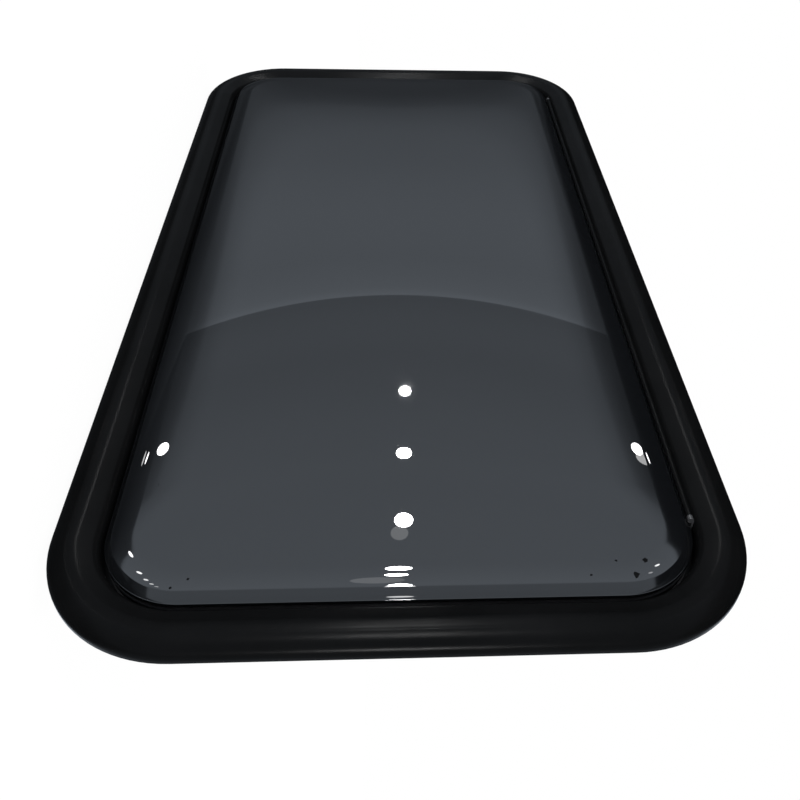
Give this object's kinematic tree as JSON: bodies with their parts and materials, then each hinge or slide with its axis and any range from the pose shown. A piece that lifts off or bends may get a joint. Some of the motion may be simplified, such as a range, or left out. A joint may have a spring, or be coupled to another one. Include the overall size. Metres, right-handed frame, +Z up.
{
  "type": "caravan side window",
  "caption": "Top-hung caravan side window: domed dark-tinted double pane in a rounded black frame for a wall cut-out, with telescopic stays and turn latches.",
  "frame": {"origin": "centre of the wall cut-out, on the wall's outside face", "axes": "+X to the right seen from outside, +Y into the vehicle, +Z up; the window stands as in the wall"},
  "size_m": [0.945, 0.0562, 0.495],
  "materials": {
    "frame_moulding": "satin",
    "seal_rubber": "matt",
    "tinted_acrylic": "polished, dark grey tint",
    "bond_adhesive": "matt",
    "leaf_metal": "satin anodised",
    "hardware_plastic": "satin",
    "fixing_steel": "zinc plated"
  },
  "bodies": {
    "frame": {"outer_frame": "frame_moulding", "frame_profiles": "frame_moulding", "frame_corners": "frame_moulding", "ledge_strips": "frame_moulding", "ledge_corners": "frame_moulding", "wall_gasket": "seal_rubber", "sash_seal": "seal_rubber", "hinge_rail": "frame_moulding", "hinge_rail_screws": "fixing_steel", "hinge_end_cap_left": "hardware_plastic", "hinge_end_cap_right": "hardware_plastic", "keeper_left": "hardware_plastic", "keeper_middle": "hardware_plastic", "keeper_right": "hardware_plastic", "keeper_screws": "fixing_steel", "stay_foot_left": "hardware_plastic", "stay_foot_right": "hardware_plastic", "stay_foot_screws": "fixing_steel", "stay_foot_pin_left": "fixing_steel", "stay_foot_pin_right": "fixing_steel"},
    "sash": {"outer_pane": "tinted_acrylic", "inner_pane": "tinted_acrylic", "edge_bond": "bond_adhesive", "hinge_leaf": "leaf_metal", "breather_plugs": "seal_rubber", "latch_base_left": "hardware_plastic", "latch_base_middle": "hardware_plastic", "latch_base_right": "hardware_plastic", "latch_screw_left": "fixing_steel", "latch_screw_middle": "fixing_steel", "latch_screw_right": "fixing_steel", "stay_bracket_left": "hardware_plastic", "stay_bracket_right": "hardware_plastic"},
    "latch_lever_left": {"latch_lever_left": "hardware_plastic"},
    "latch_button_left": {"latch_button_left": "hardware_plastic"},
    "latch_lever_middle": {"latch_lever_middle": "hardware_plastic"},
    "latch_button_middle": {"latch_button_middle": "hardware_plastic"},
    "latch_lever_right": {"latch_lever_right": "hardware_plastic"},
    "latch_button_right": {"latch_button_right": "hardware_plastic"},
    "stay_tube_left": {"stay_tube_left": "leaf_metal"},
    "stay_rod_left": {"stay_rod_left": "fixing_steel", "stay_rod_pin_left": "fixing_steel"},
    "stay_knob_left": {"stay_knob_left": "hardware_plastic"},
    "stay_tube_right": {"stay_tube_right": "leaf_metal"},
    "stay_rod_right": {"stay_rod_right": "fixing_steel", "stay_rod_pin_right": "fixing_steel"},
    "stay_knob_right": {"stay_knob_right": "hardware_plastic"}
  },
  "joints": [
    {"name": "sash_hinge", "type": "hinge", "parent": "frame", "child": "sash", "pos_m": [0, -0.01226, 0.209], "axis": [-1, 0, 0], "range_deg": [0, 55]},
    {"name": "latch_turn_left", "type": "hinge", "parent": "sash", "child": "latch_lever_left", "pos_m": [-0.26, 0.015, -0.178], "axis": [0, -1, 0], "range_deg": [0, 90]},
    {"name": "latch_press_left", "type": "slide", "parent": "latch_lever_left", "child": "latch_button_left", "axis": [0, -1, 0], "range_m": [0, 0.0015], "stiffness_N_per_m": 400},
    {"name": "latch_turn_middle", "type": "hinge", "parent": "sash", "child": "latch_lever_middle", "pos_m": [0, 0.015, -0.178], "axis": [0, -1, 0], "range_deg": [0, 90]},
    {"name": "latch_press_middle", "type": "slide", "parent": "latch_lever_middle", "child": "latch_button_middle", "axis": [0, -1, 0], "range_m": [0, 0.0015], "stiffness_N_per_m": 400},
    {"name": "latch_turn_right", "type": "hinge", "parent": "sash", "child": "latch_lever_right", "pos_m": [0.26, 0.015, -0.178], "axis": [0, -1, 0], "range_deg": [0, 90]},
    {"name": "latch_press_right", "type": "slide", "parent": "latch_lever_right", "child": "latch_button_right", "axis": [0, -1, 0], "range_m": [0, 0.0015], "stiffness_N_per_m": 400},
    {"name": "stay_turn_left", "type": "hinge", "parent": "frame", "child": "stay_tube_left", "pos_m": [-0.413, 0.02, 0.125], "axis": [-1, 0, 0], "range_deg": [0, 70]},
    {"name": "stay_slide_left", "type": "slide", "parent": "stay_tube_left", "child": "stay_rod_left", "axis": [0, -0.0391, -0.9992], "range_m": [0, 0.072]},
    {"name": "stay_twist_left", "type": "hinge", "parent": "stay_tube_left", "child": "stay_knob_left", "pos_m": [-0.413, 0.02, 0.125], "axis": [0, -0.0391, -0.9992], "range_deg": [0, 90]},
    {"name": "stay_turn_right", "type": "hinge", "parent": "frame", "child": "stay_tube_right", "pos_m": [0.413, 0.02, 0.125], "axis": [-1, 0, 0], "range_deg": [0, 70]},
    {"name": "stay_slide_right", "type": "slide", "parent": "stay_tube_right", "child": "stay_rod_right", "axis": [0, -0.0391, -0.9992], "range_m": [0, 0.072]},
    {"name": "stay_twist_right", "type": "hinge", "parent": "stay_tube_right", "child": "stay_knob_right", "pos_m": [0.413, 0.02, 0.125], "axis": [0, -0.0391, -0.9992], "range_deg": [0, 90]}
  ],
  "couplings": [
    {"joint": "stay_turn_left", "follows": "sash_hinge", "ratio": 1.184},
    {"joint": "stay_slide_left", "follows": "sash_hinge", "m_per_rad": 0.071887},
    {"joint": "stay_turn_right", "follows": "sash_hinge", "ratio": 1.184},
    {"joint": "stay_slide_right", "follows": "sash_hinge", "m_per_rad": 0.071887}
  ]
}
